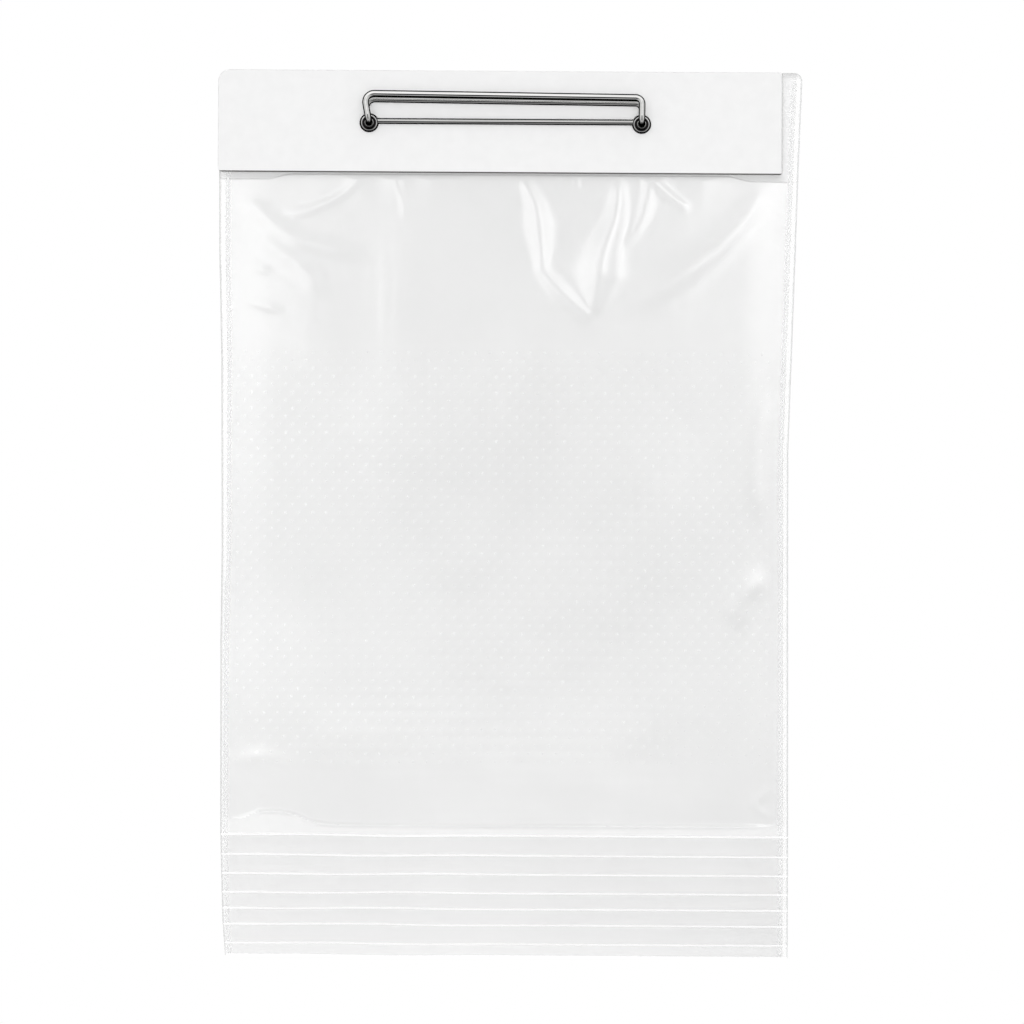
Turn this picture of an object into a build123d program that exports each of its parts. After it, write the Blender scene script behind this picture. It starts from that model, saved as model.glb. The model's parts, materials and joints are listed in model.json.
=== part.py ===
from build123d import *
import os

# A pack of wicketed film bags: clear side-welded bags hang in a row on the two legs of a bent
# steel wire (the wicket), behind a white header card.
#
# Frame: X to the right, Y away from the viewer, Z up, millimetres. The origin lies midway
# between the two wicket legs, in the plane where the legs enter the stand that carries them.

# ---- Driving dimensions -------------------------------------------------------------------

# Wicket wire
leg_spacing = 127.0          # centre to centre of the two legs (5 in)
wicket_wire_d = 3.1
leg_end_length = 22.0        # turned-down end behind the origin plane, for the stand's sockets
leg_end_d = 2.7
leg_tip_chamfer = 0.5
bail_height_left = 13.3      # the bail bar above the legs; it is hand-bent and slopes a little
bail_height_right = 12.0
bail_shift = -1.15           # it leans a little to the left
bail_splay = 1.25            # and is this much wider than the legs at each side
leg_bend_r = 3.6             # centre-line radii
bail_corner_r_left = 4.0
bail_corner_r_right = 3.0

# Keeper frame, a closed wire rectangle with an eye round each leg
keeper_wire_d = 2.8
keeper_bar_height = 0.8      # lower bar above the legs
keeper_drop = 2.4            # its top bar below the bail bar
keeper_eye_r = 3.2           # centre-line radius of an eye
keeper_eye_wire_d = 2.6      # the wire thins where it is bent round a leg
keeper_eye_bore_d = 4.0

# Front washers
washer_d = 8.3
washer_bore_d = 3.3
washer_length = 1.2
washer_edge_r = 0.5

# Header card and back card
card_left = -134.0
card_right = 129.0
card_top = 24.6
card_bottom = -23.0
header_thickness = 1.6
header_corner_r = 5.5        # upper left
header_low_corner_r = 2.0    # lower left
header_right_corner_r = 0.6
header_edge_r = 0.35
back_card_thickness = 1.2
card_hole_d = 3.6

# Rear stoppers
stopper_d = 10.0
stopper_length = 4.0
stopper_bore_d = 3.2
stopper_edge_r = 0.6

# Bags
bag_count = 8
bag_pitch = 1.4              # front of one bag to front of the next
film_t = 0.25                # one layer of film, thickened so that it can be meshed
pouch_t = 0.8                # a closed pouch: two layers and the gap between them
film_left = -133.6
film_right_top = 138.8       # the right edge draws in from here
film_right_low = 132.4       # to here
film_taper_end = -152.0      # at this height, and runs straight down from there
film_top = 24.6
film_corner_r = 3.6
hinge_height = -24.3         # the film folds here, just under the cards
hinge_gap = 0.5              # clear height above and below the fold
first_bag_bottom = -332.9
bag_steps = [9.3, 8.9, 8.8, 7.5, 7.5, 8.9, 5.6]   # each bag hangs this much lower than the last
wicket_hole_d = 13.0
hole_clearance = 0.12        # between a leg and the top of the hole that hangs on it
seal_left = 4.0              # width of the skirt outside the side weld
seal_right = 3.4
bottom_seal = 1.5
panel_clearance = 0.3        # round the front bag's mouth panel

# Along the legs
retainer_travel = 18.0       # how far the back card can slide back
stopper_standoff = 2.0       # left between the stopper and the stand at full travel
stack_gap = 0.1              # between neighbours that touch in the real pack

# ---- Derived places -----------------------------------------------------------------------

leg_x = leg_spacing / 2
leg_r = wicket_wire_d / 2
keeper_r = keeper_wire_d / 2
bail_left = -leg_x - bail_splay + bail_shift
bail_right = leg_x + bail_splay + bail_shift

stopper_back = -(retainer_travel + stopper_standoff)
back_card_back = stopper_back - stopper_length - stack_gap
back_card_front = back_card_back - back_card_thickness
last_bag_y = back_card_front - 2 * stack_gap - pouch_t / 2
first_bag_y = last_bag_y - (bag_count - 1) * bag_pitch
header_back = first_bag_y - pouch_t / 2 - 2 * stack_gap
header_front = header_back - header_thickness
keeper_y = header_front - stack_gap - keeper_r
washer_back = keeper_y - keeper_r - stack_gap
washer_front = washer_back - washer_length
bail_y = washer_front - stack_gap - leg_bend_r


def bag_y(index):
    """Middle of bag number index (0 is the front bag) along the legs."""
    return first_bag_y + index * bag_pitch


def bag_bottom(index):
    """Height of the bottom fold of bag number index."""
    return first_bag_bottom - sum(bag_steps[:index])


def film_right(z):
    """Right edge of the film at height z: it draws in to film_taper_end, then is straight."""
    share = min(1.0, (film_top - z) / (film_top - film_taper_end))
    return film_right_top + share * (film_right_low - film_right_top)


def plate(points, back, thickness):
    """A flat plate with this outline of (x, z) points, from y = back forwards by thickness."""
    outline = Polyline(*[(x, back, z) for x, z in points], close=True)
    return extrude(make_face(outline), amount=thickness, dir=(0, -1, 0))


def leg_cylinder(x, z, diameter, back, front):
    """A cylinder along Y from y = back to y = front."""
    middle = Pos(x, (back + front) / 2, z) * Rot(90, 0, 0)
    return middle * Cylinder(diameter / 2, abs(back - front))


def leg_holes(diameter, back, front, x_offset=0.0, z=0.0):
    """The pair of holes that the legs pass through, cut clear of both faces."""
    return Part() + [
        leg_cylinder(side * leg_x + x_offset, z, diameter, back + 1, front - 1) for side in (-1, 1)
    ]


def round_edges_along_y(part, x, z, radius):
    """Rounds the edge that runs along Y through the corner (x, z)."""
    edges = part.edges().filter_by(Axis.Y).filter_by(
        lambda e: abs(e.center().X - x) < 0.1 and abs(e.center().Z - z) < 0.1
    )
    return fillet(edges, radius)


# ---- Wire parts ---------------------------------------------------------------------------


def make_wicket_wire():
    """One bent wire: two legs along Y that turn up, in front of the pack, into the bail bar.
    Each leg steps down at the origin plane to the end that goes into the stand."""
    path = FilletPolyline(
        (-leg_x, 0, 0),
        (-leg_x, bail_y, 0),
        (bail_left, bail_y, bail_height_left),
        (bail_right, bail_y, bail_height_right),
        (leg_x, bail_y, 0),
        (leg_x, 0, 0),
        radius=[leg_bend_r, bail_corner_r_left, bail_corner_r_right, leg_bend_r],
    )
    section = Plane(origin=path @ 0, z_dir=path % 0) * Circle(leg_r)
    wire = sweep(section, path=path)
    for side in (-1, 1):
        end = leg_cylinder(side * leg_x, 0, leg_end_d, leg_end_length, 0)
        tip = end.edges().filter_by(GeomType.CIRCLE).sort_by(Axis.Y)[-1]
        wire += chamfer(tip, leg_tip_chamfer)
    return wire


def make_keeper_frame():
    """The rectangle that lies on the header card: lower bar, two uprights and a top bar behind
    and below the bail bar. Its lower corners are eyes that the legs pass through."""
    path = FilletPolyline(
        (-leg_x, keeper_y, keeper_bar_height),
        (bail_left, keeper_y, bail_height_left - keeper_drop),
        (bail_right, keeper_y, bail_height_right - keeper_drop),
        (leg_x, keeper_y, keeper_bar_height),
        radius=[bail_corner_r_left, bail_corner_r_right],
    )
    section = Plane(origin=path @ 0, z_dir=path % 0) * Circle(keeper_r)
    frame = sweep(section, path=path)
    bar_rotation = Rot(0, 90, 0)
    frame += Pos(0, keeper_y, keeper_bar_height) * bar_rotation * Cylinder(keeper_r, leg_spacing)
    for side in (-1, 1):
        eye_place = Pos(side * leg_x, keeper_y, 0) * Rot(90, 0, 0)
        frame += eye_place * Torus(keeper_eye_r, keeper_eye_wire_d / 2)
    # the wire bends round the leg, so nothing crosses the middle of an eye
    return frame - leg_holes(keeper_eye_bore_d, keeper_y + keeper_r, keeper_y - keeper_r)


def make_front_washer(side):
    """A domed washer that sits on a leg between the keeper's eye and the bend of the bail."""
    x = side * leg_x
    washer = leg_cylinder(x, 0, washer_d, washer_back, washer_front)
    front_edge = washer.edges().filter_by(GeomType.CIRCLE).sort_by(Axis.Y)[0]
    washer = fillet(front_edge, washer_edge_r)
    washer -= leg_cylinder(x, 0, washer_bore_d, washer_back + 1, washer_front - 1)
    return washer


# ---- Cards and stoppers -------------------------------------------------------------------


def card_outline():
    """The four corners of a card as (x, z), from the lower left."""
    return [
        (card_left, card_bottom),
        (card_right, card_bottom),
        (card_right, card_top),
        (card_left, card_top),
    ]


def make_header_card():
    """White card in front of the bags, with a large radius at the upper left corner."""
    card = plate(card_outline(), header_back, header_thickness)
    card = round_edges_along_y(card, card_left, card_top, header_corner_r)
    card = round_edges_along_y(card, card_left, card_bottom, header_low_corner_r)
    card = round_edges_along_y(card, card_right, card_top, header_right_corner_r)
    card = round_edges_along_y(card, card_right, card_bottom, header_right_corner_r)
    front_face = card.faces().sort_by(Axis.Y)[0]
    card = fillet(front_face.edges(), header_edge_r)
    return card - leg_holes(card_hole_d, header_back, header_front)


def make_back_card():
    """Chipboard behind the bags, with the header card's large radius at the upper left."""
    card = plate(card_outline(), back_card_back, back_card_thickness)
    card = round_edges_along_y(card, card_left, card_top, header_corner_r)
    for x, z in card_outline()[:3]:
        card = round_edges_along_y(card, x, z, header_low_corner_r)
    return card - leg_holes(card_hole_d, back_card_back, back_card_front)


def make_rear_stopper(side):
    """Rubber disc pushed along a leg against the back card."""
    x = side * leg_x
    front = stopper_back - stopper_length
    stopper = leg_cylinder(x, 0, stopper_d, stopper_back, front)
    rims = stopper.edges().filter_by(GeomType.CIRCLE)
    stopper = fillet(rims, stopper_edge_r)
    return stopper - leg_cylinder(x, 0, stopper_bore_d, stopper_back + 1, front - 1)


# ---- Bags ---------------------------------------------------------------------------------


def make_bag_lip(index):
    """The single layer of film behind the header card. It hangs from the tops of its holes."""
    low = hinge_height + hinge_gap
    back = bag_y(index) + film_t / 2
    outline = [
        (film_left, low),
        (film_right(low), low),
        (film_right(film_top), film_top),
        (film_left, film_top),
    ]
    lip = plate(outline, back, film_t)
    lip = round_edges_along_y(lip, film_left, film_top, film_corner_r)
    lip = round_edges_along_y(lip, film_right_top, film_top, film_corner_r)
    # the film sits to one side of the legs, so each leg touches its hole off the top
    hole_x = (film_left + film_right_top) / 2
    play = wicket_hole_d / 2 - leg_r - hole_clearance
    hole_z = -((play**2 - hole_x**2) ** 0.5)
    return lip - leg_holes(wicket_hole_d, back, back - film_t, hole_x, hole_z)


def pouch_outline(index, inset_left, inset_right, inset_bottom, top):
    """Outline of a pouch as (x, z), drawn in by the insets from its sides and bottom fold."""
    low = bag_bottom(index) + inset_bottom
    return [
        (film_left + inset_left, low),
        (film_right_low - inset_right, low),
        (film_right_low - inset_right, film_taper_end),
        (film_right(top) - inset_right, top),
        (film_left + inset_left, top),
    ]


def make_bag_pouch(index):
    """A flat pouch, welded down both sides, folded at the bottom and open at the top."""
    top = hinge_height - hinge_gap
    back = bag_y(index) + pouch_t / 2
    pouch = plate(pouch_outline(index, 0, 0, 0, top), back, pouch_t)
    mouth = pouch_outline(index, seal_left, seal_right, bottom_seal, top)
    above_mouth = [(mouth[-2][0], top + 1), (mouth[-1][0], top + 1)]
    cavity_outline = mouth[:-1] + above_mouth + mouth[-1:]
    if index == 0:
        # the front bag's mouth panel is a piece of its own, so the pouch is open at the front
        return pouch - plate(cavity_outline, back - film_t, pouch_t)
    return pouch - plate(cavity_outline, back - film_t, pouch_t - 2 * film_t)


def make_mouth_panel():
    """The front layer of the front bag, which lifts away from the back layer at the mouth."""
    inset_left = seal_left + panel_clearance
    inset_right = seal_right + panel_clearance
    inset_bottom = bottom_seal + panel_clearance
    top = hinge_height - hinge_gap
    outline = pouch_outline(0, inset_left, inset_right, inset_bottom, top)
    return plate(outline, bag_y(0) - pouch_t / 2 + film_t, film_t)


# ---- All parts ----------------------------------------------------------------------------

nodes = {
    "wicket_wire": make_wicket_wire(),
    "keeper_frame": make_keeper_frame(),
    "front_washer_left": make_front_washer(-1),
    "front_washer_right": make_front_washer(1),
    "header_card": make_header_card(),
    "back_card": make_back_card(),
    "rear_stopper_left": make_rear_stopper(-1),
    "rear_stopper_right": make_rear_stopper(1),
    "bag_1_mouth_panel": make_mouth_panel(),
}
for number in range(1, bag_count + 1):
    nodes[f"bag_{number}_lip"] = make_bag_lip(number - 1)
    nodes[f"bag_{number}_pouch"] = make_bag_pouch(number - 1)

os.makedirs("parts", exist_ok=True)
for name, part in nodes.items():
    export_step(part, f"parts/{name}.step")
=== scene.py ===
import json
import math
import bpy
import numpy as np
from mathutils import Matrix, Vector


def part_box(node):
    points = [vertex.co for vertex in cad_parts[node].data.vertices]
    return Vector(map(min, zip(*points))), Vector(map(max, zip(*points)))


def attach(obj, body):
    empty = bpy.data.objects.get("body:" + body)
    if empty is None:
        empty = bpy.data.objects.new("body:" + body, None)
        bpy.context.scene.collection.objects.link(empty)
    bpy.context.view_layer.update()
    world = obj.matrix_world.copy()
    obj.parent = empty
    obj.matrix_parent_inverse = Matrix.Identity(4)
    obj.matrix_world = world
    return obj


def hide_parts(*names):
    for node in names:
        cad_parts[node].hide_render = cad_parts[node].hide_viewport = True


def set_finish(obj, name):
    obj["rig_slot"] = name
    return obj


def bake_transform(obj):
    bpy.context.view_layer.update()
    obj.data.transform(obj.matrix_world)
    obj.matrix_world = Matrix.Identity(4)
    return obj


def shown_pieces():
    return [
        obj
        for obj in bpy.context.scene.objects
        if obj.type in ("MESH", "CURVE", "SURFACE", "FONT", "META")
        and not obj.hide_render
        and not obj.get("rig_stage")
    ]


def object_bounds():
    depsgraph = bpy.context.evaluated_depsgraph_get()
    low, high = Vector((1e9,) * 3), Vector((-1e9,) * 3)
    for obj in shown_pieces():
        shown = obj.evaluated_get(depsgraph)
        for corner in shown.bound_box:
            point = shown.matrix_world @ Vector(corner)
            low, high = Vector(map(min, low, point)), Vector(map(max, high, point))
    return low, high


# Looks of the wicketed bag pack: clear film bags on a bright wire wicket, behind a white card.
# Everything is in metres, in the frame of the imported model. MM turns millimetres into metres.

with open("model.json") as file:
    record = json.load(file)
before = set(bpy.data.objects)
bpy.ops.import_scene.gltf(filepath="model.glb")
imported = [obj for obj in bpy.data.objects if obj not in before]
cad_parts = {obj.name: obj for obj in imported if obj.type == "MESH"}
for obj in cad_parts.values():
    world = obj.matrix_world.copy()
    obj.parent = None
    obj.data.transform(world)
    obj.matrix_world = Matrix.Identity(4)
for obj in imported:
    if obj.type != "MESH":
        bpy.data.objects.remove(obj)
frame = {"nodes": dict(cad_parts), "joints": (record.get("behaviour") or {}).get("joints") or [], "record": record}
cad_low, cad_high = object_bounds()
nodes = frame["nodes"]
joints = {joint["name"]: joint for joint in frame["joints"]}
MM = 0.001

# ---- Sizes --------------------------------------------------------------------------------

FILM_T = 0.09 * MM           # one layer of film
LAYER_GAP = 0.42 * MM        # between the two layers of a closed pouch, away from the welds
GAP_RUN_IN = 40 * MM         # height above the fold at which this gap is reached
WELD_GAP = 0.11 * MM         # between the layers where they are welded
LEFT_WELD = 4.2 * MM         # chain weld to film edge, at the top
RIGHT_WELD = 3.6 * MM
CHAIN_WIDTH = 1.95 * MM
CHAIN_PITCH = 5.2 * MM       # one full turn of each strand
TURN_STEPS = 8               # sections of a strand in each turn
STRAND_D = 0.62 * MM
BEND_ABOVE = 2.0 * MM        # the film turns from lip to pouch between these, about its hinge
BEND_BELOW = 3.0 * MM
WELD_RUN_IN = 20 * MM        # folds fade out this far from the welds
BROAD_RUN_IN = 70 * MM       # and the wide undulation this far
FOLD_FLARE = 0.10 * MM       # the front layer stands proud just above the bottom fold
FOLD_HEIGHT = 1.5 * MM
FOLD_ZONE = 8 * MM           # the film follows the uneven line of its fold up to this height
FOLD_STEPS = 7               # rows of points round the fold
BEAD_T = 0.2 * MM            # thickness of the white strip along the fold that paints its highlight, and its height
FRONT_BEAD_HEIGHT = 0.75 * MM
BEAD_HEIGHT = 0.55 * MM
BEAD_STEPS = 90
CLOSING = 0.54               # share of the space between bags that is lost towards the bottom
CLOSING_FROM = 20 * MM       # they start to close in this far below the hinge
CLOSING_OVER = 200 * MM      # and do so over this height
OUTER_STEP = 2.2 * MM        # spacing of the points of the front and the back bag
INNER_STEP = 4.0 * MM        # and of the bags between them
LEAN = 0.006                 # the bags hang a third of a degree out of square with the card
TAPER_END = -152 * MM        # the right edge is straight below this height
LEFT_CORNER_R = 6 * MM       # upper corners of the lip
RIGHT_CORNER_R = 3.6 * MM
HOLE_D = 13.0 * MM
HOLE_REACH = 0.75 * HOLE_D   # the sheet is cut away this far from the middle of a hole
MOUTH_BAND = 14 * MM         # finer rows below the mouth and above the fold of the front layer
MOUTH_DIP = 2.4 * MM         # the mouth is lower at its corners, to pass under the card's edge
DIP_WIDTH = 18 * MM
DIP_RUN_OUT = 12 * MM
PAINTED_SHADE_LINE = 0.55 * MM         # height of a painted shade line along the bottom of the card's face, for the shaded gap under its cut edge
DOT_D = 1.7 * MM
DOT_HEIGHT = 0.038 * MM
DOT_SINK = 0.02 * MM         # the rim of a dot lies this far inside the film
DOT_PITCH_X = 6.35 * MM
DOT_PITCH_Z = 3.75 * MM
DOTS_ASIDE = 124 * MM        # the dots reach this far to each side
DOTS_LOW = -298 * MM
DOTS_HIGH = -104 * MM

# ---- Places taken from the frame ----------------------------------------------------------

bag_count = sum(name.endswith("_lip") for name in nodes)
header_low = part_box("header_card")[0]
lip_low, lip_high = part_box("bag_1_lip")
film_left, film_top = lip_low.x, lip_high.z
right_top = lip_high.x
hinge_z = joints["bag_1_swing"]["pos_m"][2]
mouth_z = header_low.z - 0.75 * MM
leg_x = frame["record"]["mounts"][0]["dims"]["spacing_x_mm"] / 2 * MM


def bag_y(number):
    """Middle of a bag along the legs."""
    low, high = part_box(f"bag_{number}_lip")
    return (low.y + high.y) / 2


def bag_bottom(number):
    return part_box(f"bag_{number}_pouch")[0].z


first_bottom = bag_bottom(1)
right_low = max(v.co.x for v in nodes["bag_1_pouch"].data.vertices if v.co.z < first_bottom + MM)

# ---- Outline of the film ------------------------------------------------------------------

# drift of the left edge to the right, as (distance below the legs, drift) in millimetres
LEFT_WANDER = ((-25, 0), (60, 0.2), (110, 1.1), (200, 1.1), (240, 0.5), (330, 0.4), (372, 1.2), (390, 2.4))


def smooth(t):
    """Smoothstep from 0 to 1, held outside that range."""
    t = np.clip(t, 0, 1)
    return t * t * (3 - 2 * t)


def on_line(points, place):
    """Value at this place on the line through points of (place, value)."""
    places, values = zip(*points)
    return np.interp(place, places, values)


def lean(z):
    """How far the bags have drifted to the right at height z."""
    return LEAN * np.maximum(hinge_z - z, 0)


def left_edge(z):
    """Left edge of the film: it wanders by about a millimetre on its way down."""
    return film_left + on_line(LEFT_WANDER, -z / MM) * MM + lean(z)


def right_edge(z):
    """Right edge of the film: it draws in down to TAPER_END."""
    share = np.clip((film_top - z) / (film_top - TAPER_END), 0, 1)
    return right_top + share * (right_low - right_top) + lean(z)


def across(shares, z):
    """Places x at these shares of the film's width, at height z."""
    return left_edge(z) + shares * (right_edge(z) - left_edge(z))


def left_weld(z):
    """The left chain weld hangs plumb, so the strip outside it narrows downwards."""
    return left_edge(z) - lean(z) + LEFT_WELD


def right_weld(z):
    return right_edge(z) - RIGHT_WELD


def inside_welds(x, z):
    """Distance in from the nearer chain weld, below 0 outside it."""
    return np.minimum(x - left_weld(z), right_weld(z) - x)


def weld_share(x, z, run_in=WELD_RUN_IN):
    """0 on the welds and outside them, rising to 1 inside the pouch."""
    return smooth(inside_welds(x, z) / run_in)


# ---- Relief of the film -------------------------------------------------------------------
# Relief is how far the film stands towards the viewer. In this section all points (x, z) and
# all sizes are in millimetres.

CARD_EDGE = header_low.z / MM

# folds that start from the card, the corners and the welds: path, steepness and widths
CREASES = [
    ([(-66, -19), (-71, -29), (-82, -37), (-97, -42), (-107, -40)], 0.19, (1.6, 2.4)),
    ([(-52, -19), (-50, -28), (-47, -38), (-47, -46)], 0.18, (1.2, 1.6)),
    ([(-131, -31), (-117, -40), (-101, -52), (-88, -57), (-62, -63)], 0.19, (4.0, 4.0)),
    ([(-123, -46), (-107, -58), (-94, -68), (-82, -84)], 0.12, (4.2, 4.2)),
    ([(-130, -63), (-119, -67), (-108, -70)], 0.18, (2.0, 2.0)),
    ([(-130, -80), (-114, -85), (-102, -88)], 0.18, (2.0, 2.0)),
    ([(131, -22), (113, -42), (98, -58), (76, -74), (52, -88)], 0.13, (5.0, 6.0)),
    ([(24, -20), (23.6, -26), (23.8, -31)], 0.35, (0.7, 0.7)),
    ([(35, -20), (33.6, -26), (32.6, -31)], 0.38, (0.7, 0.7)),
    ([(127, -120), (120, -150), (121, -190)], 0.14, (4.0, 5.0)),
    ([(129, -308), (119, -317), (129, -326)], 0.25, (1.7, 1.7)),
    ([(-129, -300), (-112, -296), (-96, -300)], 0.14, (3.0, 3.0)),
    ([(127, -212), (113, -218), (108, -236)], 0.13, (5.5, 4.0)),
]

# the bright folds right of the middle, in the same form. One of them is also uneven
STAR_FOLDS = [
    ([(8, -25), (14, -37), (16.5, -52), (18, -71)], 0.21, (1.8, 5.0, 2.0)),
    ([(53.5, -23), (52, -42), (46, -62), (41.5, -92)], 0.21, (2.2, 4.6, 8.0, 1.6), 0.1),
    ([(14, -64), (27, -79), (42, -91)], 0.19, (2.4, 3.8, 3.4)),
    ([(66, -18), (71, -28), (86, -40)], 0.24, (2.6, 2.4, 1.8)),
    ([(55, -58), (64, -44), (69, -22)], 0.16, (1.4, 2.8, 3.4)),
]
STAR_FADE = 0.12
STAR_MIDDLE = (33, -55)
STAR_CLEAR = 25              # other relief is left out this near to the middle of those folds
STAR_RUN_OUT = 45            # and comes back over this distance

# where folds start at the card, how wide each pulls the film forward and how far down it reaches
PULLS = (-126, -67, -52, -34, -23, 8, 23.6, 33.4, 52, 67, 92, 129)
PULL_WIDTH = 7
PULL_REACH = 6
STANDING = 0.2               # the front layer stands off by this much everywhere

# the undulation starts below the first of these heights and ends above the second
DRAPE_TOP = -24
DRAPE_BOTTOM = -333

# the wavy line where the front layer meets its bottom seal, as (x, z)
SEAL = ((-129, -325.5), (-121, -325), (-113, -321.8), (-105, -321.6), (-97, -323), (-90, -326),
        (-84, -327.4), (-70, -328), (128, -327.6))

CLOTH_STEP = 6               # spacing of the simulated points
CLOTH_BULGE = 0.6            # how far the middle of the sheet stands forward at the start
CLOTH_UNEVEN = 0.3           # and how uneven it is
CLOTH_FRAMES = 30
CLOTH_DEPTH = 6              # the deepest buckle that is kept
CLOTH_SHARE = 0.26           # share of their depth that the buckles keep

ROOM_AT_MOUTH = 0.35         # relief that fits behind the card
ROOM_BELOW = 6               # relief allowed further down
ROOM_RUN_IN = 9


def distance_to_path(x, z, path):
    """Distance to a polyline, the share of its length reached, and the side: 1 to the right of a
    path that runs down, -1 to its left."""
    best = np.full(x.shape, 1e9)
    share = np.zeros(x.shape)
    side = np.ones(x.shape)
    lengths = [math.dist(a, b) for a, b in zip(path, path[1:])]
    total = sum(lengths)
    before = 0.0
    for (ax, az), (bx, bz), length in zip(path, path[1:], lengths):
        ux, uz = (bx - ax) / length, (bz - az) / length
        along = np.clip((x - ax) * ux + (z - az) * uz, 0, length)
        distance = np.hypot(x - ax - along * ux, z - az - along * uz)
        nearer = distance < best
        best = np.where(nearer, distance, best)
        share = np.where(nearer, (before + along) / total, share)
        side = np.where(nearer, np.sign(ux * (z - az) - uz * (x - ax)), side)
        before += length
    return best, share, side


def curved(path, steps=6):
    """A smooth polyline through the points of path (Catmull-Rom)."""
    points = [np.array(p, float) for p in path]
    points = [2 * points[0] - points[1]] + points + [2 * points[-1] - points[-2]]
    line = []
    for a, b, c, d in zip(points, points[1:], points[2:], points[3:]):
        for t in np.arange(steps) / steps:
            line.append(0.5 * (2 * b + (c - a) * t + (2 * a - 5 * b + 4 * c - d) * t**2
                               + (3 * b - a - 3 * c + d) * t**3))
    return [tuple(p) for p in line] + [tuple(points[-2])]


def ridge(x, z, path, steepness, widths, uneven=0.0, fade=0.25):
    """A rounded fold along path, as high as its width times its steepness. The widths are spread
    evenly along it. uneven makes its right side steeper than its left, and it fades out over this
    share of its length at each end."""
    distance, share, side = distance_to_path(x, z, curved(path))
    width = np.interp(share, np.linspace(0, 1, len(widths)), widths)
    ends = smooth(share / fade) * smooth((1 - share) / fade)
    return steepness * width * ends * np.exp(-((distance / (width * (1 - uneven * side))) ** 2))


def gathers(x, z):
    """Where a fold starts at the card the film is pulled forward, and it sags back in between."""
    pull = np.zeros(x.shape)
    for start in PULLS:
        pull = np.maximum(pull, np.exp(-np.abs(x - start) / PULL_WIDTH))
    depth = np.clip(CARD_EDGE - z, 0, None)
    return pull * np.exp(-depth / PULL_REACH)


def drape(x, z):
    """The wide, shallow undulation that the whole pack shares: a long wave and a short one, each
    crossed with another so that they don't repeat."""
    long_wave = np.sin(x / 41 + z / 73) * np.cos(z / 58 - x / 120)
    short_wave = np.sin(x / 23 - z / 47 + 1.1) * np.sin(z / 33 + 0.6)
    below_card = smooth((DRAPE_TOP - z) / 60)
    above_fold = smooth((z - DRAPE_BOTTOM) / 45)
    return (0.5 * long_wave + 0.2 * short_wave) * below_card * above_fold


def bag_wander(x, z, number):
    """Relief that belongs to one bag alone, in its upper part."""
    phase = 1.7 * number
    upper = smooth((z + 250) / 150)
    return 0.12 * upper * np.sin(x / 37 + phase) * np.cos(z / 29 + 2.3 * phase)


def bottom_billow(x, z):
    """At its bottom seal the front layer stands off in a narrow bead along the wavy line, with a
    flat step below it."""
    above = z - on_line(SEAL, x)
    bead = 0.36 * np.exp(-((above / 0.8) ** 2))
    step = 0.3 * smooth((1.0 - above) / 2.0)
    return bead + step


def front_relief(x, z, cloth):
    """Relief of the front bag's front layer."""
    from_star = np.hypot(x - STAR_MIDDLE[0], z - STAR_MIDDLE[1])
    clear_of_star = smooth((from_star - STAR_CLEAR) / STAR_RUN_OUT)
    total = STANDING + (cloth + gathers(x, z)) * clear_of_star + bottom_billow(x, z)
    for fold in CREASES:
        total = total + ridge(x, z, *fold)
    return total + np.max([ridge(x, z, *fold, fade=STAR_FADE) for fold in STAR_FOLDS], axis=0)


def cloth_sheet(grid_x, depth, grid_z):
    """The sheet that the simulation starts from, held along all four edges. In metres."""
    index = np.arange(grid_x.size).reshape(grid_x.shape)
    faces = np.stack([index[:-1, :-1], index[:-1, 1:], index[1:, 1:], index[1:, :-1]], -1)
    points = np.stack([grid_x, depth, grid_z], -1).reshape(-1, 3)
    mesh = bpy.data.meshes.new("film_simulation")
    mesh.from_pydata(points.tolist(), [], faces.reshape(-1, 4).tolist())
    sheet = bpy.data.objects.new("film_simulation", mesh)
    bpy.context.scene.collection.objects.link(sheet)
    edge = np.concatenate([index[0], index[-1], index[:, 0], index[:, -1]])
    sheet.vertex_groups.new(name="welds").add(np.unique(edge).tolist(), 1.0, "REPLACE")
    return sheet


def settle(sheet):
    """Lets a sheet buckle as cloth that grows a little. Returns its points and removes it."""
    cloth = sheet.modifiers.new("cloth", "CLOTH").settings
    cloth.vertex_group_mass = "welds"
    cloth.quality = 6
    cloth.mass = 0.05
    cloth.tension_stiffness = 25
    cloth.compression_stiffness = 25
    cloth.shear_stiffness = 10
    cloth.bending_stiffness = 0.02
    cloth.shrink_min = -0.004
    cloth.effector_weights.gravity = 0.15
    for number in range(1, CLOTH_FRAMES + 1):
        bpy.context.scene.frame_set(number)
    settled = sheet.evaluated_get(bpy.context.evaluated_depsgraph_get())
    points = np.array([v.co for v in settled.data.vertices], float)
    bpy.data.objects.remove(sheet)
    bpy.context.scene.frame_set(1)
    return points


def softened(grid):
    """A grid with each value averaged with the four round it."""
    padded = np.pad(grid, 1, mode="edge")
    return (padded[1:-1, :-2] + padded[1:-1, 2:] + padded[:-2, 1:-1] + padded[2:, 1:-1] + 2 * grid) / 6


def simulate_film(width, height):
    """A sheet of film a little too big for its welded frame buckles as cloth does. Width and
    height are in metres. Returns the relief as a grid in millimetres, from the lower left."""
    step = CLOTH_STEP * MM
    xs = np.linspace(0, width, round(width / step) + 1)
    zs = np.linspace(0, height, round(height / step) + 1)
    grid_x, grid_z = np.meshgrid(xs, zs)
    random = np.random.default_rng(5)
    depth = -CLOTH_BULGE * MM * np.sin(np.pi * grid_x / width) * np.sin(np.pi * grid_z / height)
    depth -= random.uniform(0, CLOTH_UNEVEN, depth.shape) * MM
    points = settle(cloth_sheet(grid_x, depth, grid_z))
    relief = softened(softened(-points[:, 1].reshape(depth.shape) / MM))
    return CLOTH_SHARE * np.clip(relief, 0, CLOTH_DEPTH)


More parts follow.
